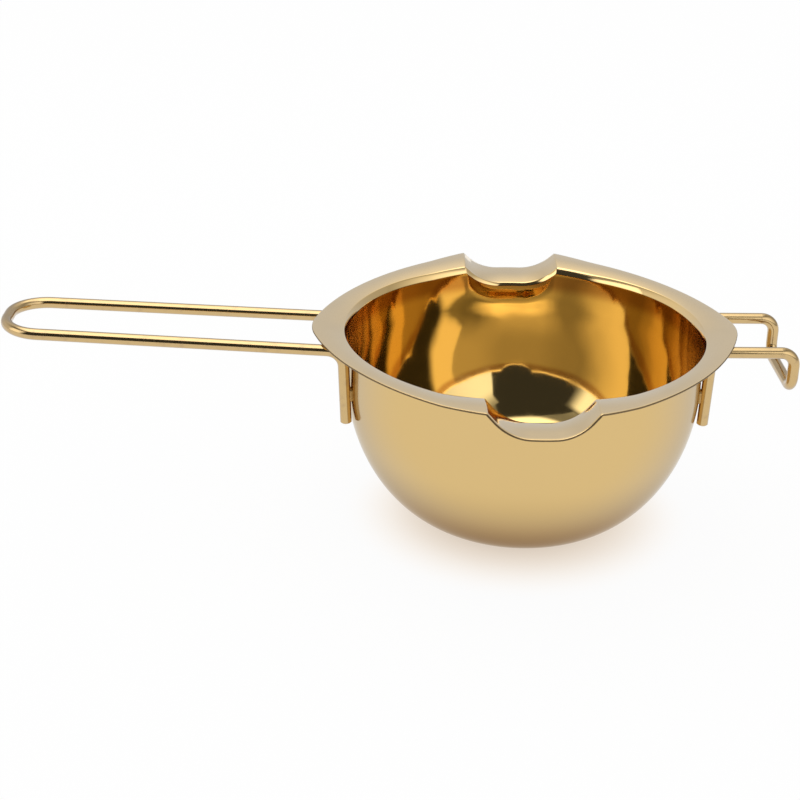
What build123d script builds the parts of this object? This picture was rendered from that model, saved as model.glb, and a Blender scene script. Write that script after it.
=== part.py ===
"""A double boiler pot: a pressed sheet bowl with two pouring spouts, a long wire handle and a wire hook.

Millimetres. The origin is the middle of the flat base and +Z is up. The handle points to -X and the
hook to +X, and the two spouts are at -Y and +Y.
"""
from build123d import *
from math import atan2, cos, radians, sin, sqrt, tan
import os

# Sheet that the bowl is pressed from
sheet_thickness = 0.7
sheet_edge_round_share = 0.35

# Bowl body: a flat base, a wall curved like an ellipse and a straight wall above it
bowl_height = 72.8
bowl_bore = 124.6
base_flat_diameter = 50.0
straight_wall_depth = 17.0
wall_curve_width = 42.5

# Rim bend, the flat land outside it, and the arcs of the flange's outline from above
rim_bend_radius = 4.0
flange_tip_land = 8.6
flange_lip_land = 12.1
flange_tip_radius = 28.5
flange_side_radius = 106.0
flange_lip_radius = 46.0

# Pouring spouts: a folded trough that crosses the flange
spout_crease_half_width = 17.8
spout_shoulder_rise = 0.9
spout_shoulder_width = 13.6
spout_shoulder_radius = 60.0
spout_floor_half_width = 9.5
spout_floor_round_share = 0.62
spout_depth = 6.3
spout_crease_margin = 0.8

# Wire of the handle and the hook, and the legs that run down the wall
wire_diameter = 4.0
wire_spacing = 32.0
wire_bend_radius = 6.0
wire_clearance = 0.1
leg_foot_depth = 30.3
leg_lean_angle = 2.2
leg_foot_chamfer = 0.4

# Long handle, measured from the flange's tip
handle_length = 108.1
handle_end_spacing = 29.6
handle_end_straight = 4.0
handle_rise_angle = 2.8

# Hook, with the gap from the flange's tip to its drop
hook_gap = 15.6
hook_drop = 13.5
hook_corner_radius = 4.8

# Weld spots between the legs and the wall
weld_length = 5.6
weld_width = 2.6

# How far a cutting shape runs past what it cuts, and how near counts as touching
overrun = 6.0
touch_tolerance = 0.001

# Sizes that follow from the ones above
bore_radius = bowl_bore / 2
wall_radius = bore_radius + sheet_thickness
wire_radius = wire_diameter / 2
flange_tip_reach = bore_radius + rim_bend_radius + flange_tip_land
flange_lip_reach = bore_radius + rim_bend_radius + flange_lip_land
crease_radius = rim_bend_radius + spout_crease_margin
curve_start_height = bowl_height - straight_wall_depth
curve_centre_radius = wall_radius - wall_curve_width
base_curve_share = (base_flat_diameter / 2 - curve_centre_radius) / wall_curve_width
wall_curve_height = curve_start_height / sqrt(1 - base_curve_share**2)


def bowl_body(inset):
    """The filled bowl, drawn in by inset all over and carried up past the rim."""
    top = bowl_height + overrun
    corner = (Align.MIN, Align.MIN)
    curve = Pos(curve_centre_radius, curve_start_height) * Ellipse(
        wall_curve_width - inset, wall_curve_height - inset
    )
    core = Rectangle(curve_centre_radius, curve_start_height, align=corner)
    neck = Rectangle(wall_radius - inset, top - curve_start_height, align=corner)
    room = Rectangle(wall_radius, top, align=corner)
    profile = (curve + core + Pos(0, curve_start_height) * neck) & (Pos(0, inset) * room)
    return revolve(Plane.XZ * profile, Axis.Z)


def lowered(before, corner, after, drop):
    """Where a corner of the rim line goes when the line is lowered by drop, square to itself."""
    first = (corner - before).normalized()
    second = (after - corner).normalized()
    first_down = Vector(first.Y, -first.X)
    second_down = Vector(second.Y, -second.X)
    return corner + (first_down + second_down) * (drop / (1 + first_down.dot(second_down)))


def room_under_rim(drop):
    """All the room under the rim's top line, or under that line lowered by drop.

    The line is level at the handle and the hook, rises a little at a shoulder on each side of the
    spout, turns over a crease and goes down a straight flank to the spout's round floor.
    """
    far = flange_tip_reach + overrun
    deep = -bowl_height - overrun
    half_line = [
        Vector(far, 0),
        Vector(spout_crease_half_width + spout_shoulder_width, 0),
        Vector(spout_crease_half_width, spout_shoulder_rise),
        Vector(spout_floor_half_width, -spout_depth),
    ]
    line = [Vector(-p.X, p.Y) for p in half_line] + half_line[::-1]
    flank = half_line[2] - half_line[3]
    floor_radius = spout_floor_round_share * flank.length / tan(atan2(flank.Y, flank.X) / 2)
    radii = [spout_shoulder_radius + drop, crease_radius - drop, floor_radius + drop]
    corners = [lowered(a, b, c, drop) for a, b, c in zip(line, line[1:], line[2:])]
    left = Vector(-far, -drop)
    right = Vector(far, -drop)
    rim_line = FilletPolyline(left, *corners, right, radius=radii + radii[::-1])
    rest = Polyline(right, (far, deep), (-far, deep), left)
    section = make_face(rim_line.edges() + rest.edges())
    return Pos(0, 0, bowl_height) * extrude(Plane.XZ * section, flange_lip_reach + overrun, both=True)


def flange_outline():
    """The flange from above: lip, side and tip arcs, each tangent to the next."""
    lip = Vector(0, flange_lip_reach - flange_lip_radius)
    tip = Vector(flange_tip_reach - flange_tip_radius, 0)
    lip_to_side = flange_side_radius - flange_lip_radius
    tip_to_side = flange_side_radius - flange_tip_radius
    apart = (tip - lip).length
    along = (tip - lip).normalized()
    run = (lip_to_side**2 - tip_to_side**2 + apart**2) / (2 * apart)
    side = lip + along * run + Vector(along.Y, -along.X) * sqrt(lip_to_side**2 - run**2)
    lip_end = side + (lip - side).normalized() * flange_side_radius
    tip_end = side + (tip - side).normalized() * flange_side_radius
    side_middle = side + (lip_end + tip_end - side * 2).normalized() * flange_side_radius
    side_arc = ThreePointArc(lip_end, side_middle, tip_end)
    tip_arc = ThreePointArc(tip_end, (flange_tip_reach, 0), (tip_end.X, -tip_end.Y))
    lip_arc = ThreePointArc((-lip_end.X, lip_end.Y), (0, flange_lip_reach), lip_end)
    hook_half = [side_arc, tip_arc, mirror(side_arc, Plane.XZ)]
    handle_half = [mirror(arc, Plane.YZ) for arc in hook_half]
    return make_face(hook_half + handle_half + [lip_arc, mirror(lip_arc, Plane.XZ)])


def make_flange():
    """The flange as a folded plate, with its cut edge rounded on both sides."""
    blank = extrude(flange_outline(), bowl_height + overrun)
    plate = (blank & room_under_rim(0)) - room_under_rim(sheet_thickness)
    cut_faces = [face for face in plate.faces() if abs(face.normal_at().Z) < touch_tolerance]
    cut_edges = [edge for face in cut_faces for edge in face.edges() if edge.geom_type != GeomType.LINE]
    return fillet(cut_edges, sheet_edge_round_share * sheet_thickness)


def rim_edges(solid, radius):
    """The edges where the upright wall of that radius meets the flange."""
    found = []
    for edge in solid.edges():
        points = [edge @ share for share in (0, 0.5, 1)]
        on_wall = all(abs(sqrt(p.X**2 + p.Y**2) - radius) < touch_tolerance for p in points)
        above_curve = points[1].Z > curve_start_height + touch_tolerance
        if on_wall and above_curve and edge.geom_type != GeomType.LINE:
            found.append(edge)
    return found


def make_bowl():
    """The pressed sheet: body, rim bend, flange and spouts, with one thickness all over."""
    solid = (bowl_body(0) & room_under_rim(0)) + make_flange()
    solid = fillet(rim_edges(solid, wall_radius), rim_bend_radius - sheet_thickness)
    solid = solid - bowl_body(sheet_thickness)
    return fillet(rim_edges(solid, bore_radius), rim_bend_radius)


def leg_axis_and_touch():
    """A point on the rear leg's axis at +X, and the point beside it where leg and wall touch.

    They touch where the curved wall has come to lean as much as the leg does.
    """
    across = wire_spacing / 2
    stand_off = wire_radius + wire_clearance
    lean = atan2(tan(radians(leg_lean_angle)) * cos(atan2(across, wall_radius)), 1)
    down = atan2(wall_curve_height * tan(lean), wall_curve_width)
    axis_radius = curve_centre_radius + wall_curve_width * cos(down) + stand_off * cos(lean)
    axis_height = curve_start_height - wall_curve_height * sin(down) - stand_off * sin(lean)
    axis = Vector(sqrt(axis_radius**2 - across**2), across, axis_height)
    inward = Vector(-axis.X * cos(lean), -axis.Y * cos(lean), axis_radius * sin(lean)).normalized()
    return axis, axis + inward * stand_off


def leg_foot_and_corner(rise_angle):
    """The rear leg's foot at +X, and the corner where the leg turns into a run under the flange."""
    axis = leg_axis_and_touch()[0]
    lean = tan(radians(leg_lean_angle))
    rise = tan(radians(rise_angle))
    run_height = bowl_height - sheet_thickness - wire_clearance - wire_radius
    reach = axis.X + (run_height - flange_tip_reach * rise - axis.Z) * lean
    reach = reach / (1 - rise * lean)
    corner = Vector(reach, axis.Y, run_height + (reach - flange_tip_reach) * rise)
    foot_height = bowl_height - leg_foot_depth
    foot = Vector(axis.X + (foot_height - axis.Z) * lean, axis.Y, foot_height)
    return foot, corner


def bent_wire(rear_points, rear_radii):
    """A round wire along points that are given for the rear half and mirrored to the front."""
    front_points = [Vector(p.X, -p.Y, p.Z) for p in rear_points[::-1]]
    path = FilletPolyline(*rear_points, *front_points, radius=rear_radii + rear_radii[::-1])
    wire = sweep(Plane(path @ 0, z_dir=path % 0) * Circle(wire_radius), path=path)
    feet = wire.edges().filter_by(GeomType.CIRCLE).sort_by(Axis.Z)[:2]
    return chamfer(feet, leg_foot_chamfer)


def to_handle_side(piece):
    """The same piece turned half round, from the hook's side to the handle's."""
    return Rot(0, 0, 180) * piece


def make_handle():
    """The long handle: two runs that rise and draw together towards a round end."""
    foot, corner = leg_foot_and_corner(handle_rise_angle)
    end_reach = flange_tip_reach + handle_length - wire_radius
    end_height = corner.Z + (end_reach - corner.X) * tan(radians(handle_rise_angle))
    end = Vector(end_reach, handle_end_spacing / 2, end_height)
    end_turn = radians(90) + atan2(corner.Y - end.Y, end_reach - corner.X)
    end_radius = (handle_end_spacing - handle_end_straight) / 2 / tan(end_turn / 2)
    return to_handle_side(bent_wire([foot, corner, end], [wire_bend_radius, end_radius]))


def make_hook():
    """The hook: two short runs that turn down to a cross bar, to hold the rim of a larger pan."""
    foot, corner = leg_foot_and_corner(0)
    out = Vector(flange_tip_reach + hook_gap + wire_radius, corner.Y, corner.Z)
    low = Vector(out.X, out.Y, out.Z - hook_drop)
    return bent_wire([foot, corner, out, low], [wire_bend_radius, hook_corner_radius, hook_corner_radius])


def make_weld():
    """The rear weld at +X, a long spot that fills the wedge between a leg and the wall."""
    axis, touch = leg_axis_and_touch()
    foot, corner = leg_foot_and_corner(0)
    up_leg = corner - foot
    leg = Plane(axis, z_dir=up_leg) * Cylinder(wire_radius, leg_foot_depth)
    spot = Plane(axis, x_dir=up_leg, z_dir=touch - axis) * SlotOverall(weld_length, weld_width)
    return extrude(spot, wire_diameter) - bowl_body(0) - leg


def make_nodes():
    """Every piece by name."""
    weld = make_weld()
    front_weld = mirror(weld, Plane.XZ)
    return {
        "bowl": make_bowl(),
        "long_handle_wire": make_handle(),
        "hook_wire": make_hook(),
        "hook_weld_rear": weld,
        "hook_weld_front": front_weld,
        "handle_weld_rear": to_handle_side(front_weld),
        "handle_weld_front": to_handle_side(weld),
    }


if __name__ == "__main__":
    os.makedirs("parts", exist_ok=True)
    for name, solid in make_nodes().items():
        export_step(solid, f"parts/{name}.step")
        print(name, round(solid.volume, 1), "mm3")
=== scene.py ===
# %% [markdown]
# # A double boiler pot
# The real pot is one bowl of thin, gold-coloured steel with two bent wires welded to its wall: a long
# handle, and a hook that holds the pot over the rim of a larger pan. Its parts are already solids, made
# in CAD. They could be drawn again from nothing, but then sizes would drift, so this lesson loads them as
# a fixed frame and only adds the looks: a finer skin for the mirror bowl, the finishes and a studio.

import math

import bpy
import numpy as np
from mathutils import Matrix, Vector


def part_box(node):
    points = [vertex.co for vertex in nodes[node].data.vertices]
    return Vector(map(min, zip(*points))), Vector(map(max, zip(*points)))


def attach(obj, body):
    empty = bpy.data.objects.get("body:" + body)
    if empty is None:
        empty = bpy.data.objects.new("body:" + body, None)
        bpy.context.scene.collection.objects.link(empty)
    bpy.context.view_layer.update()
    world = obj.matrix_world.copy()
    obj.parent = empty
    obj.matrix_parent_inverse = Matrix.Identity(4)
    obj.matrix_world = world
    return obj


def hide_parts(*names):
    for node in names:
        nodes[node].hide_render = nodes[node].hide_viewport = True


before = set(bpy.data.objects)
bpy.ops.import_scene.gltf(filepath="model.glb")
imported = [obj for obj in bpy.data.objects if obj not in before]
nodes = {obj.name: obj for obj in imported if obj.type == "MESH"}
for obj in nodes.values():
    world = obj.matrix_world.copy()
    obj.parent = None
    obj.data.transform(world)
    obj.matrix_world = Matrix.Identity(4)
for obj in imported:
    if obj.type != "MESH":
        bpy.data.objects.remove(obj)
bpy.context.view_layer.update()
mm = 0.001
print("solids:", sorted(nodes))

# %% [markdown]
# ## The camera
# The photograph was taken from a little over half a metre, looking down on the pot. A camera can be aimed
# with a Track To constraint, but a fixed turn says exactly how it stood: a tilt down, a small turn to the
# side and a small roll, which are three plain rotations. The lens is given for a sensor 36 mm wide.

# %% Set the camera
CAMERA_PLACE = Vector((-52.94, -519.66, 283.08)) * mm
CAMERA_DOWN = math.radians(24.718)
CAMERA_TURN = math.radians(-1.0365)
CAMERA_ROLL = math.radians(0.7995)
LENS = 71.535
CLIP_START = 10 * mm

lens = bpy.data.cameras.new("photo_camera")
lens.lens = LENS
lens.clip_start = CLIP_START
camera = bpy.data.objects.new("photo_camera", lens)
bpy.context.scene.collection.objects.link(camera)
stance = (
    Matrix.Rotation(CAMERA_TURN, 4, "Z")
    @ Matrix.Rotation(math.pi / 2 - CAMERA_DOWN, 4, "X")
    @ Matrix.Rotation(CAMERA_ROLL, 4, "Z")
)
camera.matrix_world = Matrix.Translation(CAMERA_PLACE) @ stance
bpy.context.scene.camera = camera
print("camera to pot:", round(CAMERA_PLACE.length / mm), "mm")

# %% [markdown]
# ## Shader maths as Python
# A finish is a small formula, such as a colour that turns browner under the rim. It could be wired by hand,
# node by node, but the formula is then hard to see. This class wraps one output of a node, so that + - * /
# on it add Math nodes, and one method, node, adds any other node: settings first, then sockets.


# %% Wrap a socket
class Shade:
    """One output of a shader node, which can be used in sums."""

    def __init__(self, tree, output=None):
        self.tree = tree
        self.output = output

    def node(self, kind, settings=None, sockets=None, out=0):
        """Adds a node with its settings, then its sockets' values or links, and gives one output."""
        added = self.tree.nodes.new("ShaderNode" + kind)
        for name, value in (settings or {}).items():
            setattr(added, name, value)
        for name, value in (sockets or {}).items():
            if isinstance(value, Shade):
                self.tree.links.new(value.output, added.inputs[name])
            else:
                added.inputs[name].default_value = value
        return Shade(self.tree, added.outputs[out])

    def parts(self):
        """The three numbers of a vector."""
        split = self.node("SeparateXYZ", sockets={0: self}).output.node
        return [Shade(self.tree, output) for output in split.outputs]

    def maths(self, operation, *values):
        """One Math node on numbers or other outputs."""
        return self.node("Math", {"operation": operation}, dict(enumerate(values)))

    def __add__(self, other):
        return self.maths("ADD", self, other)

    def __sub__(self, other):
        return self.maths("SUBTRACT", self, other)

    def __rsub__(self, other):
        return self.maths("SUBTRACT", other, self)

    def __mul__(self, other):
        return self.maths("MULTIPLY", self, other)

    def __truediv__(self, other):
        return self.maths("DIVIDE", self, other)

    def __rtruediv__(self, other):
        return self.maths("DIVIDE", other, self)

    __radd__ = __add__
    __rmul__ = __mul__


print("operators ready")

# %% [markdown]
# ## Shared formulas
# Three things recur in the finishes: a value that rises smoothly between two limits, a mix of two colours,
# and an empty metal to start from. A node group could hold each of them, but a short function can be read
# at once. The Mix node keeps one set of sockets for each kind of data, so its colour sockets go by number.

# %% Write the shared formulas
MIX_SHARE, MIX_FIRST, MIX_SECOND = 0, 6, 7
MIX_RESULT = 2


def ease(value, low, high):
    """0 below low, 1 above high, and a smooth rise between."""
    limits = {"Value": value, "From Min": low, "From Max": high}
    return value.node("MapRange", {"interpolation_type": "SMOOTHSTEP"}, limits)


def mix_colour(share, first, second):
    """The first colour at share 0 and the second at share 1."""
    sockets = {MIX_SHARE: share, MIX_FIRST: first, MIX_SECOND: second}
    return share.node("Mix", {"data_type": "RGBA"}, sockets, MIX_RESULT)


def new_finish(name):
    """An empty metal finish: its material, its shader and a Shade to build formulas on."""
    material = bpy.data.materials.new(name)
    material.use_nodes = True
    shader = material.node_tree.nodes["Principled BSDF"]
    shader.inputs["Metallic"].default_value = 1
    return material, shader, Shade(material.node_tree)


def feed(shader, **formulas):
    """Links formulas to the shader's sockets, where Base_Color stands for Base Color."""
    for name, formula in formulas.items():
        formula.tree.links.new(formula.output, shader.inputs[name.replace("_", " ")])


print("shared formulas ready")

# %% [markdown]
# ## The bowl's rim line
# The bowl is mirror polished, and a mirror shows every facet of its mesh. The CAD mesh could be smoothed,
# but its triangles stay uneven, so the bowl gets a new skin here, with the solid's main sizes, as one
# regular grid. Seen from the side, the flange follows one line: level, up over a small shoulder, over a
# crease, down a flank and through the spout's round floor. It is a chain of straight stretches and arcs.

# %% Draw the rim line
SHEET = 0.7 * mm
BOWL_HEIGHT = 72.8 * mm
CREASE = Vector((17.8, 0.9)) * mm
SHOULDER_WIDTH = 13.6 * mm
SHOULDER_RADIUS = 60.0 * mm
CREASE_RADIUS = 1.0 * mm
SPOUT_FLOOR = Vector((10.6, -6.3)) * mm
FLOOR_ROUND_SHARE = 0.66
ARC_POINTS = 60

_, bowl_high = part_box("bowl")
spout_zone = CREASE.x + SHOULDER_WIDTH
flank = CREASE - SPOUT_FLOOR
flank_angle = math.atan2(flank.y, flank.x)
floor_radius = FLOOR_ROUND_SHARE * flank.length / math.tan(flank_angle / 2)
half_line = [(bowl_high[0], 0), (spout_zone, 0), tuple(CREASE), tuple(SPOUT_FLOOR)]
half_radii = [SHOULDER_RADIUS, CREASE_RADIUS, floor_radius]
corners = np.array([(-x, z) for x, z in half_line] + half_line[::-1])
runs = np.diff(corners, axis=0)
slopes = np.arctan2(runs[:, 1], runs[:, 0])

line_x, line_z, line_slope = [corners[:1, 0]], [corners[:1, 1]], [slopes[:1]]
for corner, before, after, radius in zip(corners[1:], slopes, slopes[1:], half_radii + half_radii[::-1]):
    signed_radius = np.sign(after - before) * radius
    middle = (before + after) / 2
    away = signed_radius / np.cos((after - before) / 2)
    arc = np.linspace(before, after, ARC_POINTS)
    line_x.append(corner[0] - away * np.sin(middle) + signed_radius * np.sin(arc))
    line_z.append(corner[1] + away * np.cos(middle) - signed_radius * np.cos(arc))
    line_slope.append(arc)
line_x = np.concatenate(line_x + [corners[-1:, 0]])
line_z = np.concatenate(line_z + [corners[-1:, 1]]) + BOWL_HEIGHT
line_slope = np.concatenate(line_slope + [slopes[-1:]])
print("rim line from", round(line_z.min() / mm, 1), "to", round(line_z.max() / mm, 1), "mm high")

# %% [markdown]
# ## The rim's bend
# Between the wall and the flange the sheet is bent. One round bend would mirror the whole studio in an even
# band, but the photograph shows a clean bright facet between two thin dark lines. So the press left a tight
# corner at the wall, an almost flat facet and a tight corner at the flange. They are three arcs here, each
# with its radius and with the sheet's lean, in degrees, at its start and end.

# %% Draw the bend
BEND_RADII = (1.2 * mm, 9.0 * mm, 0.8 * mm)
BEND_LEANS = (0, 24, 37, 78)
ARC_ROWS = 6

lean, radius = np.zeros(1), np.zeros(0)
for first, last, arc_radius in zip(BEND_LEANS, BEND_LEANS[1:], BEND_RADII):
    lean = np.append(lean, np.radians(np.linspace(first, last, ARC_ROWS + 1)[1:]))
    radius = np.append(radius, np.full(ARC_ROWS, arc_radius))
bend_out = np.cumsum(radius * -np.diff(np.cos(lean)))
bend_up = np.cumsum(radius * np.diff(np.sin(lean)))
print("bend:", round(bend_out[-1] / mm, 2), "mm wide and", round(bend_up[-1] / mm, 2), "mm high")

# %% [markdown]
# ## Columns round the bowl
# The grid's columns run from the base to the flange's edge. Equal angles would be simplest, but then few
# columns would fall on the spouts' creases. So a column is placed after equal amounts of travel and turning
# together, along the line where the flange starts. One half is drawn, and mirrored later.

# %% Place the columns
BORE_RADIUS = 62.3 * mm
HALF_COLUMNS = 291
TURN_WEIGHT = 0.3
FINE_STEPS = 20001

flange_ring = BORE_RADIUS + bend_out[-1]
fine_angle = np.linspace(0, math.pi, FINE_STEPS)
fine_slope = np.interp(flange_ring * np.cos(fine_angle), line_x, line_slope)
turning = np.concatenate([[0], np.cumsum(np.abs(np.diff(fine_slope)))])
travel = fine_angle + TURN_WEIGHT * turning
angle = np.interp(np.linspace(0, travel[-1], HALF_COLUMNS), travel, fine_angle)

outward = np.stack([np.cos(angle), np.sin(angle), 0 * angle], axis=1)
bend_end = flange_ring * outward
slope = np.interp(bend_end[:, 0], line_x, line_slope)
upward = np.stack([-np.sin(slope), 0 * slope, np.cos(slope)], axis=1)
print("columns in one half:", len(angle))

# %% [markdown]
# ## The flange's outline
# From above, the flange is an oval with blunt tips: an arc at the lip, one along the side and one at the
# tip, each tangent to the next. A spline through measured points would wobble, and arcs can't. The side
# arc's middle follows from its distances to the other two middles.

# %% Draw the outline
TIP_RADIUS = 28.5 * mm
SIDE_RADIUS = 106.0 * mm
LIP_RADIUS = 46.0 * mm

tip_middle = Vector((bowl_high[0] - TIP_RADIUS, 0))
lip_middle = Vector((0, bowl_high[1] - LIP_RADIUS))
lip_gap = SIDE_RADIUS - LIP_RADIUS
tip_gap = SIDE_RADIUS - TIP_RADIUS
between = tip_middle - lip_middle
along = between.normalized()
run = (lip_gap**2 - tip_gap**2 + between.length_squared) / (2 * between.length)
side_middle = lip_middle + along * run + Vector((along.y, -along.x)) * math.sqrt(lip_gap**2 - run**2)

to_tip = tip_middle - side_middle
to_lip = lip_middle - side_middle
tip_turn = math.atan2(to_tip.y, to_tip.x)
lip_turn = math.atan2(to_lip.y, to_lip.x)
arcs = [
    (tip_middle, TIP_RADIUS, 0, tip_turn),
    (side_middle, SIDE_RADIUS, tip_turn, lip_turn),
    (lip_middle, LIP_RADIUS, lip_turn, math.pi / 2),
]
facing = np.concatenate([np.linspace(first, last, ARC_POINTS) for _, _, first, last in arcs])
middles = np.repeat([tuple(middle) for middle, _, _, _ in arcs], ARC_POINTS, axis=0)
arc_radii = np.repeat([arc_radius for _, arc_radius, _, _ in arcs], ARC_POINTS)
rim = middles + arc_radii[:, None] * np.stack([np.cos(facing), np.sin(facing)], axis=1)
rim_travel = np.concatenate([[0], np.cumsum(np.hypot(*np.diff(rim, axis=0).T))])
print("outline quarter:", round(rim_travel[-1] / mm, 1), "mm long")

# %% [markdown]
# ## Where each column ends
# Each column ends on the outline. It could simply run on outward, but then the creases would fan out. So in
# the spout's zone a column keeps its x, which keeps the creases straight, and outside that zone the columns
# share the outline's length by their angle. Near the bend the flange rolls down a little, because the press
# pulled it in.

# %% Find the column ends
EDGE_ROUND = 0.245 * mm
ROLL_WIDTH = 9.0 * mm
ROLL_SHARE = 0.8

reach = np.abs(bend_end[:, 0])
quarter_angle = np.minimum(angle, math.pi - angle)
zone_angle = quarter_angle[reach > spout_zone].max()
zone_travel = np.interp(-reach[quarter_angle <= zone_angle].min(), -rim[:, 0], rim_travel)
travel_out = np.where(
    quarter_angle > zone_angle,
    np.interp(-reach, -rim[:, 0], rim_travel),
    zone_travel * quarter_angle / zone_angle,
)
side = np.where(angle > math.pi / 2, -1, 1)
end_facing = np.interp(travel_out, rim_travel, facing)
edge_out = np.stack([side * np.cos(end_facing), np.sin(end_facing), 0 * angle], axis=1)
rim_x, rim_y = [np.interp(travel_out, rim_travel, values) for values in rim.T]
flange_end = np.stack([side * rim_x, rim_y, 0 * angle], axis=1) - EDGE_ROUND * edge_out
flange_width = np.linalg.norm(flange_end - bend_end, axis=1)[:, None]
roll_width = np.minimum(ROLL_WIDTH, ROLL_SHARE * flange_width)
roll_drop = roll_width * math.tan(math.pi / 2 - lean[-1]) / 2
rim_height = np.interp(bend_end[:, :1], line_x, line_z)
bend_end[:, 2:] = rim_height - roll_drop
print("flange is", round(flange_width.min() / mm, 1), "mm wide at least")

# %% [markdown]
# ## The throats under the spouts
# Where the press pushed a spout down, it also pushed the wall's top outward, and the bend got narrower. So
# under each spout the wall swings out in a shallow S, most at the spout's floor and not at all at the
# creases. Cutting the same bend lower would leave a wide facet there, which the photograph doesn't show.

# %% Shape the throats
THROAT_DEPTH = 7.0 * mm
THROAT_BEND_SHARE = 0.55

sunk = np.clip((BOWL_HEIGHT - rim_height) / -SPOUT_FLOOR.y, 0, 1)
bend_share = 1 - (1 - THROAT_BEND_SHARE) * sunk
throat_out = (1 - bend_share) * bend_out[-1]
print("throats push the wall out by", round(throat_out.max() / mm, 2), "mm")

# %% [markdown]
# ## Rows inside the bowl
# Each row is a ring of points with the direction that the sheet faces there. The base is flat, the wall
# curves up along an ellipse, and then it goes straight up to the throats. A Screw modifier would turn one
# profile round the axis, but these rows have to end at the rim's changing height.

# %% Make the rows inside
BASE_FLAT_RADIUS = 25.0 * mm
STRAIGHT_WALL = 17.0 * mm
CURVE_WIDTH = 42.5 * mm
BASE_ROWS = 3
CURVE_ROWS = 40
WALL_ROWS = 3
THROAT_ROWS = 8
UP = np.array([0, 0, 1])

curve_start = BOWL_HEIGHT - STRAIGHT_WALL
curve_middle = BORE_RADIUS + SHEET - CURVE_WIDTH
base_share = (BASE_FLAT_RADIUS - curve_middle) / CURVE_WIDTH
curve_height = curve_start / math.sqrt(1 - base_share**2)
inner_width = CURVE_WIDTH - SHEET
inner_height = curve_height - SHEET
base_turn = math.asin((curve_start - SHEET) / inner_height)
base_radius = curve_middle + inner_width * math.cos(base_turn)
wall_top = bend_end[:, 2:] - bend_share * bend_up[-1]
throat_start = wall_top - THROAT_DEPTH
rows, faces_to = [], []


def add_row(points, directions):
    """Keeps one ring of points, each with the direction that the sheet faces."""
    rows.append(points)
    faces_to.append(directions / np.linalg.norm(directions, axis=1)[:, None])


for share in np.linspace(0, 1, BASE_ROWS + 1)[1:-1]:
    add_row(share * base_radius * outward + SHEET * UP, 0 * outward + UP)
for turn in np.linspace(base_turn, 0, CURVE_ROWS):
    across = curve_middle + inner_width * math.cos(turn)
    height = curve_start - inner_height * math.sin(turn)
    tilt = math.cos(turn) / inner_width * outward - math.sin(turn) / inner_height * UP
    add_row(across * outward + height * UP, -tilt)
for share in np.linspace(0, 1, WALL_ROWS + 1)[1:]:
    height = curve_start + share * (throat_start - curve_start)
    add_row(BORE_RADIUS * outward + height * UP, -outward)
for share in np.linspace(0, 1, THROAT_ROWS + 1)[1:]:
    across = BORE_RADIUS + throat_out * share**2 * (3 - 2 * share)
    add_row(across * outward + (throat_start + share * THROAT_DEPTH) * UP, -outward)
inside_rows = len(rows) + ARC_ROWS
print("rows up to the bend:", len(rows))

# %% [markdown]
# ## Rows of the rim
# The bend's rows follow the rim line's height, and turn from facing the axis to facing up. The flange's
# rows then run out to the outline. A bevel could round the rim's edge instead, but a bevel has one radius
# all along, and this bend is a facet that narrows in the spouts.

# %% Make the rows of the rim
FLANGE_ROWS = 10

for out, up, turn in zip(bend_out, bend_up, lean[1:]):
    across = BORE_RADIUS + throat_out + bend_share * out
    points = across * outward + (wall_top + bend_share * up) * UP
    add_row(points, math.sin(turn) * upward - math.cos(turn) * outward)
for share in np.linspace(0, 1, FLANGE_ROWS + 1)[1:]:
    points = bend_end + share * (flange_end - bend_end)
    rolled = np.maximum(0, 1 - share * flange_width / roll_width)
    points[:, 2:] = np.interp(points[:, :1], line_x, line_z) - roll_drop * rolled**2
    add_row(points, upward)
top_rows = len(rows)
print("rows on the sheet's upper side:", top_rows)

# %% [markdown]
# ## The sheet's other side
# The sheet is 0.7 mm thick. A Solidify modifier could thicken the rows, but it would leave a square edge.
# Here the same rows are moved back by the thickness, and the cut edge between them is a rounded one.

# %% Give the sheet its thickness
EDGE_ROWS = 4

under = [points - SHEET * direction for points, direction in zip(rows, faces_to)]
quarter_turns = np.linspace(0, math.pi / 2, EDGE_ROWS)
flange_edge = rows[-1]
edge = []
for turn in quarter_turns[1:]:
    bulge = math.sin(turn) * edge_out + (math.cos(turn) - 1) * upward
    edge.append(flange_edge + EDGE_ROUND * bulge)
for turn in quarter_turns[:-1]:
    bulge = math.cos(turn) * edge_out - math.sin(turn) * upward
    edge.append(flange_edge + (EDGE_ROUND - SHEET) * upward + EDGE_ROUND * bulge)
half = np.array(rows + edge + under[::-1])
print("rows on both sides and the edge:", len(half))

# %% [markdown]
# ## The bowl's skin
# The half is mirrored to a full ring of columns, and two points in the middle of the base close it. A
# Mirror modifier would do the first step too, but then only half of the faces would be at hand here. Faces
# get one of four finishes by their row: the inside up to the bend's first corner, the facet with the
# flange, the cut edge and the outside.

# %% Build the bowl
INSIDE, FLANGE, OUTSIDE, CUT_EDGE = 0, 1, 2, 3

grid = np.concatenate([half, half[:, -2:0:-1] * [1, -1, 1]], axis=1)
ring_count, column_count = grid.shape[:2]
number = np.arange(ring_count * column_count).reshape(ring_count, column_count)
after = np.roll(number, -1, axis=1)
quads = np.stack([number[:-1], after[:-1], after[1:], number[1:]], axis=-1).reshape(-1, 4)
top_point = number.size
fan_in = [(top_point, a, b) for a, b in zip(number[0], after[0])]
fan_out = [(top_point + 1, b, a) for a, b in zip(number[-1], after[-1])]
points = np.concatenate([grid.reshape(-1, 3), [SHEET * UP, 0 * UP]])
mesh = bpy.data.meshes.new("bowl_skin")
mesh.from_pydata(points.tolist(), [], quads[:, ::-1].tolist() + fan_in + fan_out)
mesh.shade_smooth()
mesh.validate()

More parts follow.
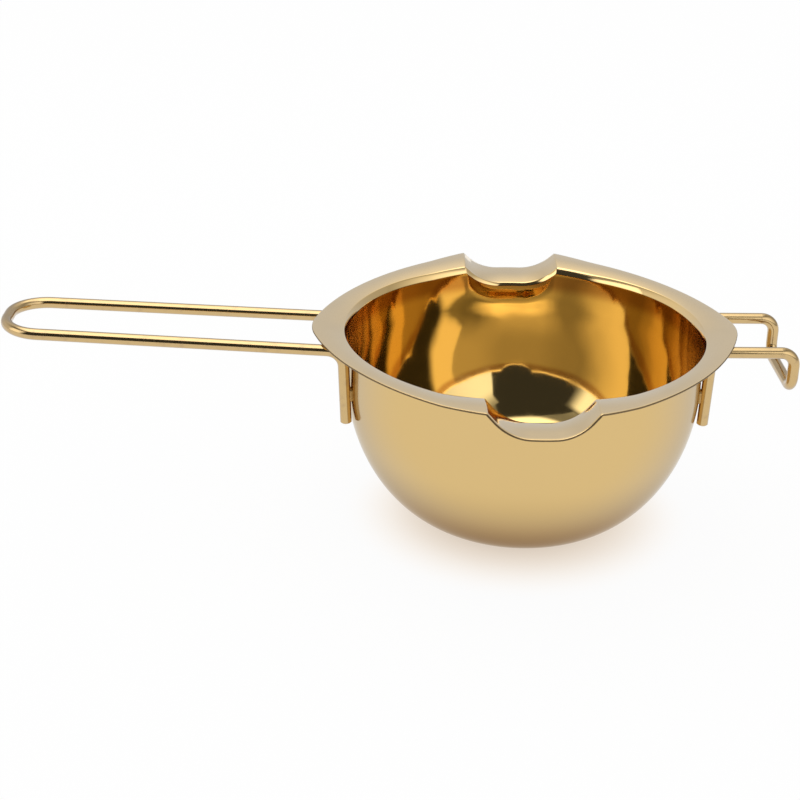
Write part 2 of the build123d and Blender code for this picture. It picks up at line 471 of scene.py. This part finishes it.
row_of_face = np.repeat(np.arange(ring_count - 1), column_count)
finish = np.where(row_of_face < inside_rows - 1, INSIDE, FLANGE)
finish = np.where(row_of_face >= top_rows, CUT_EDGE, finish)
finish = np.where(row_of_face >= top_rows + len(edge) - 1, OUTSIDE, finish)
finish = np.concatenate([finish, np.full(column_count, INSIDE), np.full(column_count, OUTSIDE)])
mesh.polygons.foreach_set("material_index", finish.astype(np.int32))
bowl = bpy.data.objects.new("bowl_skin", mesh)
bpy.context.scene.collection.objects.link(bowl)
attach(bowl, "root")
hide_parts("bowl")
print("bowl skin:", len(mesh.polygons), "faces")

# %% [markdown]
# ## The gold coat
# All of the pot has one thin gold coat. It is gold where it is looked at squarely, and gets paler where it
# turns away. A plain metal colour goes pale only at the very edge, so the Facing output of a Layer Weight
# node mixes two colours. What is uneven in each finish comes from noise, in lengths that can be measured on
# the pot, and a Bump node turns it into dents and grain.

# %% Write the coat's formulas
PALE_FROM = (0.3, 0.95)
EVEN_BLEND = 0.5


def gold_coat(start, gold, pale):
    """The coating's colour: gold where it is looked at squarely, and paler where it turns away."""
    turned = start.node("LayerWeight", sockets={"Blend": EVEN_BLEND}, out="Facing")
    return mix_colour(ease(turned, *PALE_FROM), gold, pale)


def noise(place, size, detail):
    """Uneven values round a half, in patches of about this size."""
    return place.node("TexNoise", sockets={"Vector": place, "Scale": 1 / size, "Detail": detail})


def bump(height, depth, strength):
    """A surface direction that follows a height, which is this deep."""
    return height.node("Bump", sockets={"Height": height, "Distance": depth, "Strength": strength})


print("coat formulas ready")

# %% [markdown]
# ## The mirror finish inside
# The inside is buffed to a mirror, and light bounces in it several times, so that it turns from gold to
# deep amber by itself. A darker paint would fake that for one view only. What the finish adds is the
# buffing: long, shallow waves that bend the reflections, and a faint haze. It also adds one painted shade:
# under the rim the colour turns browner, for the dark band that the wall mirrors there.

# %% Finish the inside
MIRROR_GOLD = (0.76, 0.542, 0.21, 1)
MIRROR_PALE = (0.71, 0.58, 0.37, 1)
MIRROR_ROUGHNESS = 0.06
WAVE_SIZE = 16 * mm
WAVE_DEPTH = 0.14 * mm
WAVE_STRENGTH = 1.0
HAZE_SIZE = WAVE_SIZE / 3
HAZE_FROM = (0.45, 0.8)
HAZE_ROUGHNESS = 0.03
RIM_PAINTED_SHADE = (0.42, 0.20, 0.06, 1)
RIM_SHADE_FROM = (61 * mm, 66 * mm)
RIM_SHADE_TO = (69 * mm, 70 * mm)
RIM_SHADE_SHARE = 0.8

inside, shader, start = new_finish("mirror_gold")
place = start.node("TexCoord", out="Object")
_, _, height = place.parts()
# Painted shade: under the rim the colour turns browner, for the dark band that the wall mirrors there.
rim_shade = ease(height, *RIM_SHADE_FROM) * (1 - ease(height, *RIM_SHADE_TO))
coat = gold_coat(start, MIRROR_GOLD, MIRROR_PALE)
haze = ease(noise(place, HAZE_SIZE, detail=4), *HAZE_FROM)
feed(
    shader,
    Base_Color=mix_colour(rim_shade * RIM_SHADE_SHARE, coat, RIM_PAINTED_SHADE),
    Roughness=MIRROR_ROUGHNESS + haze * HAZE_ROUGHNESS,
    Normal=bump(noise(place, WAVE_SIZE, detail=1), WAVE_DEPTH, WAVE_STRENGTH),
)
print("inside finish:", inside.name)

# %% [markdown]
# ## The satin flange
# The flange is the same sheet, but it is rubbed flat with fine abrasive, so it is paler and has a fine
# grain. An image of scratches could be laid on it, but noise that is stretched along the handle's direction
# gives the same short grain at any distance.

# %% Finish the flange
SATIN_GOLD = (0.92, 0.65, 0.29, 1)
SATIN_PALE = (0.97, 0.87, 0.71, 1)
SATIN_ROUGHNESS = 0.06
RUBBED_GOLD = (0.82, 0.67, 0.45, 1)
RUBBED_FROM = (0.4, 0.8)
RUBBED_SHARE = 0.3
GRAIN_ALONG = 6 * mm
GRAIN_ACROSS = 0.25 * mm
GRAIN_DEPTH = 0.003 * mm
GRAIN_STRENGTH = 0.6
GRAIN_ROUGHNESS = 0.05

flange, shader, start = new_finish("satin_gold")
place = start.node("TexCoord", out="Object")
stretch = (1 / GRAIN_ALONG, 1 / GRAIN_ACROSS, 1 / GRAIN_ACROSS)
grain_place = start.node("VectorMath", {"operation": "MULTIPLY"}, {0: place, 1: stretch})
grain = noise(grain_place, size=1, detail=2)
rubbed = ease(noise(place, WAVE_SIZE, detail=3), *RUBBED_FROM)
coat = gold_coat(start, SATIN_GOLD, SATIN_PALE)
feed(
    shader,
    Base_Color=mix_colour(rubbed * RUBBED_SHARE, coat, RUBBED_GOLD),
    Roughness=SATIN_ROUGHNESS + grain * GRAIN_ROUGHNESS,
    Normal=bump(grain, GRAIN_DEPTH, GRAIN_STRENGTH),
)
print("flange finish:", flange.name)

# %% [markdown]
# ## The soft polish outside
# The outside was polished while the bowl turned, so its finest lines run round it. An image could hold
# them, but a coordinate that grows from the base's middle up the wall, the distance from the axis plus the
# height, makes rings of noise that follow any bowl. The colour is darkened towards the base: painted shade,
# for the shadowed table that the low wall mirrors. The shader's Specular Tint keeps its outermost edge
# warm.

# %% Finish the outside
SOFT_GOLD = (0.70, 0.495, 0.215, 1)
SOFT_PALE = (0.56, 0.48, 0.37, 1)
SOFT_ROUGHNESS = 0.10
GRAZING_TINT = (0.84, 0.78, 0.68, 1)
LOW_PAINTED_SHADE = (0.25, 0.14, 0.05, 1)
PAINTED_SHADE_REACH = 40 * mm
RING_SIZE = 0.5 * mm
RING_DEPTH = 0.002 * mm
RING_STRENGTH = 0.5
RING_ROUGHNESS = 0.05
CLOUD_FROM = (0.4, 0.8)
CLOUD_ROUGHNESS = 0.03

outside, shader, start = new_finish("soft_gold")
shader.inputs["Specular Tint"].default_value = GRAZING_TINT
place = start.node("TexCoord", out="Object")
_, _, height = place.parts()
flat_place = start.node("VectorMath", {"operation": "MULTIPLY"}, {0: place, 1: (1, 1, 0)})
across = start.node("VectorMath", {"operation": "LENGTH"}, {0: flat_place}, "Value")
ring_place = (across + height) / RING_SIZE
ring_sockets = {"W": ring_place, "Scale": 1.0, "Detail": 3.0}
rings = start.node("TexNoise", {"noise_dimensions": "1D"}, ring_sockets)
clouds = ease(noise(place, WAVE_SIZE, detail=3), *CLOUD_FROM)
coat = gold_coat(start, SOFT_GOLD, SOFT_PALE)
# Painted shade: the colour darkens towards the base, for the shadowed table that the low wall mirrors.
feed(
    shader,
    Base_Color=mix_colour(1 - ease(height, 0, PAINTED_SHADE_REACH), coat, LOW_PAINTED_SHADE),
    Roughness=SOFT_ROUGHNESS + rings * RING_ROUGHNESS + clouds * CLOUD_ROUGHNESS,
    Normal=bump(rings, RING_DEPTH, RING_STRENGTH),
)
print("outside finish:", outside.name)

# %% [markdown]
# ## The cut edge
# A thin dark line runs along the flange's edge. Here it is painted shade, for the shade between the flange
# and the outside. A line could be painted on the flange's side, but the edge has its own faces, so it gets
# its own finish, dark brown and rough with burrs. The skin then takes its four finishes, in the order of
# their numbers.

# %% Finish the cut edge
EDGE_SHADE_BROWN = (0.26, 0.18, 0.09, 1)
EDGE_SHADE_DARK = (0.12, 0.08, 0.04, 1)
EDGE_ROUGHNESS = 0.3
BURR_SIZE = 0.5 * mm
BURR_ROUGHNESS = 0.2

cut_edge_painted_shade, shader, start = new_finish("cut_edge_painted_shade")
place = start.node("TexCoord", out="Object")
burr = noise(place, BURR_SIZE, detail=2)
# Painted shade: the edge's dark brown stands for the shade along the flange's edge; the burrs vary it.
feed(
    shader,
    Base_Color=mix_colour(burr, EDGE_SHADE_BROWN, EDGE_SHADE_DARK),
    Roughness=EDGE_ROUGHNESS + burr * BURR_ROUGHNESS,
)
for bowl_finish in (inside, flange, outside, cut_edge_painted_shade):
    mesh.materials.append(bowl_finish)
print("cut edge finish:", cut_edge_painted_shade.name)

# %% [markdown]
# ## The wires
# Both wires are drawn, bent and polished before they are coated. They could be swept again along curves,
# but their CAD meshes are fine enough, so they keep them. Drawing leaves faint dents and dull patches,
# which noise gives.

# %% Finish the wires
WIRE_GOLD = (0.62, 0.44, 0.21, 1)
WIRE_PALE = (0.46, 0.37, 0.27, 1)
WIRE_ROUGHNESS = 0.10
WIRE_DULL = (0.50, 0.35, 0.19, 1)
DULL_FROM = (0.5, 0.8)
DULL_SHARE = 0.7
DENT_SIZE = 3 * mm
DENT_DEPTH = 0.01 * mm
DENT_STRENGTH = 0.5
DENT_FROM = (0.35, 0.75)
DENT_ROUGHNESS = 0.10

wire, shader, start = new_finish("wire_gold")
place = start.node("TexCoord", out="Object")
dents = noise(place, DENT_SIZE, detail=2)
coat = gold_coat(start, WIRE_GOLD, WIRE_PALE)
feed(
    shader,
    Base_Color=mix_colour(ease(dents, *DULL_FROM) * DULL_SHARE, coat, WIRE_DULL),
    Roughness=WIRE_ROUGHNESS + ease(dents, *DENT_FROM) * DENT_ROUGHNESS,
    Normal=bump(dents, DENT_DEPTH, DENT_STRENGTH),
)
print("wire finish:", wire.name)

# %% [markdown]
# ## The welds
# A weld is a small nugget between a wire's leg and the wall, rough and browned by heat. Its crust could be
# modelled, but it is a tenth of a millimetre deep, so a bump is enough. Each solid but the bowl then gets
# its finish by its name.

# %% Finish the welds
HEAT_BROWN = (0.52, 0.30, 0.10, 1)
CRUST_SIZE = 0.5 * mm
CRUST_DEPTH = 0.1 * mm
CRUST_STRENGTH = 0.6
CRUST_ROUGHNESS = 0.3
WELD_ROUGHNESS = 0.3

weld, shader, start = new_finish("weld_brown")
place = start.node("TexCoord", out="Object")
crust = noise(place, CRUST_SIZE, detail=3)
feed(
    shader,
    Base_Color=mix_colour(crust, HEAT_BROWN, SOFT_GOLD),
    Roughness=WELD_ROUGHNESS + crust * CRUST_ROUGHNESS,
    Normal=bump(crust, CRUST_DEPTH, CRUST_STRENGTH),
)
for name, node in nodes.items():
    if name != "bowl":
        node.data.materials.clear()
        node.data.materials.append(weld if "weld" in name else wire)
print("weld finish:", weld.name)

# %% [markdown]
# ## The table
# The pot stands on a white table. A plain white board would turn grey away from the lamps. So for light
# that bounces, the table is plain board, but for the camera, and for the metal that mirrors it, most of it
# glows. The glowing share grows with the distance from the pot, which keeps the table white and leaves a
# soft shadow, and near the pot the glow is warm, as light that comes back from gold is.

# %% Lay the table
TABLE_SIZE = 8.0
TABLE_WHITE = (0.88, 0.88, 0.88, 1)
WHITE = (1, 1, 1, 1)
GLOW_UNDER = 0.6
GLOW_NEAR = 0.95
GLOW_FAR = 0.98
GLOW_WARM = (1, 0.88, 0.75, 1)
WARM_REACH = (0.03, 0.065)
NEAR_RISE = (0.02, 0.06)
FAR_RISE = (0.1, 0.5)
SQUARE = [(-1, -1), (1, -1), (1, 1), (-1, 1)]


def seen_ray(start):
    """1 for rays from the camera and for those that metal or glass sends on, 0 for other light."""
    kinds = ("Is Camera Ray", "Is Glossy Ray", "Is Transmission Ray")
    eye, gloss, glass = [start.node("LightPath", out=kind) for kind in kinds]
    return eye.maths("MAXIMUM", eye, eye.maths("MAXIMUM", gloss, glass))


table_mesh = bpy.data.meshes.new("table")
table_corners = [Vector((x, y, 0)) * TABLE_SIZE / 2 for x, y in SQUARE]
table_mesh.from_pydata(table_corners, [], [(0, 1, 2, 3)])
table = bpy.data.objects.new("table", table_mesh)
bpy.context.scene.collection.objects.link(table)

board = bpy.data.materials.new("table_white")
board.use_nodes = True
start = Shade(board.node_tree)
plain = start.node("BsdfDiffuse", sockets={"Color": TABLE_WHITE})
place = start.node("TexCoord", out="Object")
away = start.node("VectorMath", {"operation": "LENGTH"}, {0: place}, "Value")
glow_colour = mix_colour(ease(away, *WARM_REACH), GLOW_WARM, WHITE)
glow = start.node("Emission", sockets={"Color": glow_colour, "Strength": 1.0})
near_gain = ease(away, *NEAR_RISE) * (GLOW_NEAR - GLOW_UNDER)
far_gain = ease(away, *FAR_RISE) * (GLOW_FAR - GLOW_NEAR)
glow_share = GLOW_UNDER + near_gain + far_gain
bright = start.node("MixShader", sockets={0: glow_share, 1: plain, 2: glow})
shown = start.node("MixShader", sockets={0: seen_ray(start), 1: plain, 2: bright})
board.node_tree.links.new(shown.output, board.node_tree.nodes["Material Output"].inputs["Surface"])
table_mesh.materials.append(board)
print("table:", TABLE_SIZE, "m square")

# %% [markdown]
# ## Cards
# A mirror shows its room, so the room is part of the finish. A picture of a room could be wrapped round the
# scene, but flat cards can be placed and named. A card has one brightness or a formula for it, and only
# reflections and bounced light see it. Its brightness is the share of a white glow, so it stays between 0
# and 1.

# %% Make cards


def glow_mix(start, share, level):
    """An emission that goes from none at share 0 to level at share 1."""
    dark = start.node("Emission", sockets={"Strength": 0.0})
    bright = start.node("Emission", sockets={"Color": WHITE, "Strength": level})
    return start.node("MixShader", sockets={0: share, 1: dark, 2: bright})


def card(name, corners, brightness):
    """A flat card that the camera doesn't see; brightness is a number or a formula, and 1 is white."""
    card_mesh = bpy.data.meshes.new(name)
    card_mesh.from_pydata(corners, [], [(0, 1, 2, 3)])
    piece = bpy.data.objects.new(name, card_mesh)
    bpy.context.scene.collection.objects.link(piece)
    piece.visible_camera = False
    paint = bpy.data.materials.new(name)
    paint.use_nodes = True
    start = Shade(paint.node_tree)
    share = brightness(start) if callable(brightness) else brightness
    surface = paint.node_tree.nodes["Material Output"].inputs["Surface"]
    paint.node_tree.links.new(glow_mix(start, share, 1.0).output, surface)
    card_mesh.materials.append(paint)


print("cards ready")

# %% [markdown]
# ## Soft boxes
# A soft box is a lamp behind cloth, brightest in its middle. An area lamp is evenly bright and would leave
# hard edges in the mirror, so a formula on the lamp's own surface lets its light fade towards its sides.
# The x and y of that surface go from 0 to 1. A dim card just behind a box stands for its frame.

# %% Make soft boxes
FRAME_BEHIND = 0.02


def square_edge(left, right, low, high):
    """A box's outline whose light fades over these shares of its width and height, from each side."""

    def share(x, y):
        across = ease(x, 0, left) * (1 - ease(x, 1 - right, 1))
        return across * ease(y, 0, low) * (1 - ease(y, 1 - high, 1))

    return share


def oval_edge(inner, fade):
    """An oval outline that fades from this share of its half width to the rim, times a square fade."""

    def share(x, y):
        across, up = x * 2 - 1, y * 2 - 1
        return (1 - ease(across * across + up * up, inner**2, 1)) * fade(x, y)

    return share


def soft_box(name, place, aim, size, level, outline, frame_level=None):
    """A lamp that faces aim, as bright as level inside its outline, with a frame if that has a level."""
    lamp = bpy.data.lights.new(name, "AREA")
    lamp.shape = "RECTANGLE"
    lamp.size, lamp.size_y = size
    # At this power the formula's level is the brightness that the lamp shows.
    lamp.energy = math.pi * size[0] * size[1]
    lamp.use_nodes = True
    start = Shade(lamp.node_tree)
    x, y, _ = start.node("NewGeometry", out="Parametric").parts()
    surface = lamp.node_tree.nodes["Light Output"].inputs["Surface"]
    lamp.node_tree.links.new(glow_mix(start, outline(x, y), level).output, surface)
    box = bpy.data.objects.new(name, lamp)
    box.location = place
    box.rotation_euler = (aim - place).to_track_quat("-Z", "Y").to_euler()
    bpy.context.scene.collection.objects.link(box)
    if frame_level is not None:
        turn = box.rotation_euler.to_matrix()
        flat = [Vector((x * size[0] / 2, y * size[1] / 2, FRAME_BEHIND)) for x, y in SQUARE]
        card(name + "_frame", [place + turn @ corner for corner in flat], frame_level)


print("soft boxes ready")

# %% [markdown]
# ## The lamps
# The photograph's reflections show a large oval box overhead, a wide one at the front right, which fades
# to its right, and a smaller one at the left. Three point lamps would light the pot as well, but in a
# mirror they would be three dots. The side boxes are placed by a turn from the camera's side to the right
# and a lift above the horizon, in degrees.

# %% Hang the lamps
TARGET = Vector((0, 0, 60 * mm))
BOX_AWAY = 1.0
OVERHEAD_PLACE = TARGET + Vector((-0.12, 0.16, 1.0))
OVERHEAD_SIZE = (1.6, 1.8)
OVERHEAD_LEVEL = 1.9
OVERHEAD_INNER = 0.88
RIGHT_SIZE = (1.74, 0.82)
RIGHT_LEVEL = 1.05
RIGHT_FRAME_LEVEL = 0.42
LEFT_SIZE = (0.76, 0.66)
LEFT_LEVEL = 1.5
LEFT_FRAME_LEVEL = 0.1


def towards(turn, lift):
    """The place for a box at this turn and lift, as seen from the pot."""
    turn, lift = math.radians(turn), math.radians(lift)
    level = Vector((math.sin(turn), -math.cos(turn), 0)) * math.cos(lift)
    return TARGET + BOX_AWAY * (level + Vector((0, 0, math.sin(lift))))


below = OVERHEAD_PLACE - Vector((0, 0, 1))
overhead_fade = square_edge(left=0.25, right=0.36, low=0.02, high=0.46)
overhead_edge = oval_edge(OVERHEAD_INNER, overhead_fade)
soft_box("overhead_box", OVERHEAD_PLACE, below, OVERHEAD_SIZE, OVERHEAD_LEVEL, overhead_edge)
right_place = towards(turn=59, lift=29)
right_edge = square_edge(left=0.015, right=0.8, low=0.05, high=0.35)
soft_box("right_box", right_place, TARGET, RIGHT_SIZE, RIGHT_LEVEL, right_edge, RIGHT_FRAME_LEVEL)
left_place = towards(turn=-71, lift=22)
left_edge = square_edge(left=0.05, right=0.3, low=0.05, high=0.15)
soft_box("left_box", left_place, TARGET, LEFT_SIZE, LEFT_LEVEL, left_edge, LEFT_FRAME_LEVEL)
print("lamps: 3 soft boxes")

# %% [markdown]
# ## The dark stretch
# The mirror also shows a dark stretch round the camera, where a studio hangs a black cloth, called a flag.
# A gap in the walls would let the white surroundings in, so it is one dark card.

# %% Hang the flag
FLAG_Y = -0.95
FLAG_LEFT, FLAG_RIGHT = -1.46, 0.31
FLAG_TOP = 1.45
FLAG_LEVEL = 0.045

flag_low = [(FLAG_LEFT, FLAG_Y, 0), (FLAG_RIGHT, FLAG_Y, 0)]
flag_high = [(FLAG_RIGHT, FLAG_Y, FLAG_TOP), (FLAG_LEFT, FLAG_Y, FLAG_TOP)]
card("camera_flag", flag_low + flag_high, FLAG_LEVEL)
print("flag:", round(FLAG_RIGHT - FLAG_LEFT, 2), "m wide")

# %% [markdown]
# ## The walls
# Behind the lamps the room is dim, and the gold that mirrors it gets its middle tones from there. One even
# grey would do for a matt pot. Here cards stand in a ring, with a formula for the light on them.

# %% Put up the walls
WALL_AWAY = 1.8
WALL_TOP = 3.1
WALL_COUNT = 12
WALL_LOW = 0.58
WALL_HIGH = 0.27
WALL_RISE = (0.7, 1.9)
SIDE_REACH = (0.6, 1.7)
LEFT_GAIN = 0.2
RIGHT_LOSS = 0.13
RIGHT_HIGH_GAIN = 0.12
BACK_HIGH_GAIN = 0.65


def wall_level(start):
    """A wall's light: with height the back gains, front and left lose, and the right changes little."""
    x, y, z = start.node("TexCoord", out="Object").parts()
    left = ease(0 - x, *SIDE_REACH)
    right = ease(x, *SIDE_REACH)
    back = ease(y, *SIDE_REACH)
    low = WALL_LOW + left * LEFT_GAIN - right * RIGHT_LOSS
    high = WALL_HIGH + right * RIGHT_HIGH_GAIN + back * BACK_HIGH_GAIN
    return low + ease(z, *WALL_RISE) * (high - low)


for index in range(WALL_COUNT):
    ends = [math.radians(360 * (index + k) / WALL_COUNT) for k in (0, 1)]
    feet = [(WALL_AWAY * math.sin(end), -WALL_AWAY * math.cos(end)) for end in ends]
    low_ends = [(*foot, 0) for foot in feet]
    high_ends = [(*foot, WALL_TOP) for foot in feet[::-1]]
    card(f"wall_{index}", low_ends + high_ends, wall_level)
ceiling = [(x * WALL_AWAY, y * WALL_AWAY, WALL_TOP) for x, y in SQUARE]
card("ceiling", ceiling, WALL_HIGH)
print("walls:", WALL_COUNT, "cards and a ceiling")

# %% [markdown]
# ## The white surroundings
# Above the table everything is white, for the camera and for the metal that mirrors it. If all light met
# that white, the shadows would be lost, so light that a dull surface scatters meets a dimmer fill instead.
# The bowl needs many bounces, because its walls mirror each other. The Standard view shows colours as they
# are written.

# %% Set the world
FILL = 0.4
BOUNCES = 24

world = bpy.data.worlds.new("studio_white")
bpy.context.scene.world = world
world.use_nodes = True
start = Shade(world.node_tree)
fill = start.node("Background", sockets={"Color": WHITE, "Strength": FILL})
white = start.node("Background", sockets={"Color": WHITE, "Strength": 1.0})
shown = start.node("MixShader", sockets={0: seen_ray(start), 1: fill, 2: white})
world.node_tree.links.new(shown.output, world.node_tree.nodes["World Output"].inputs["Surface"])
bpy.context.scene.view_settings.view_transform = "Standard"
bpy.context.scene.cycles.max_bounces = BOUNCES
bpy.context.scene.cycles.glossy_bounces = BOUNCES
print("world fill:", FILL)
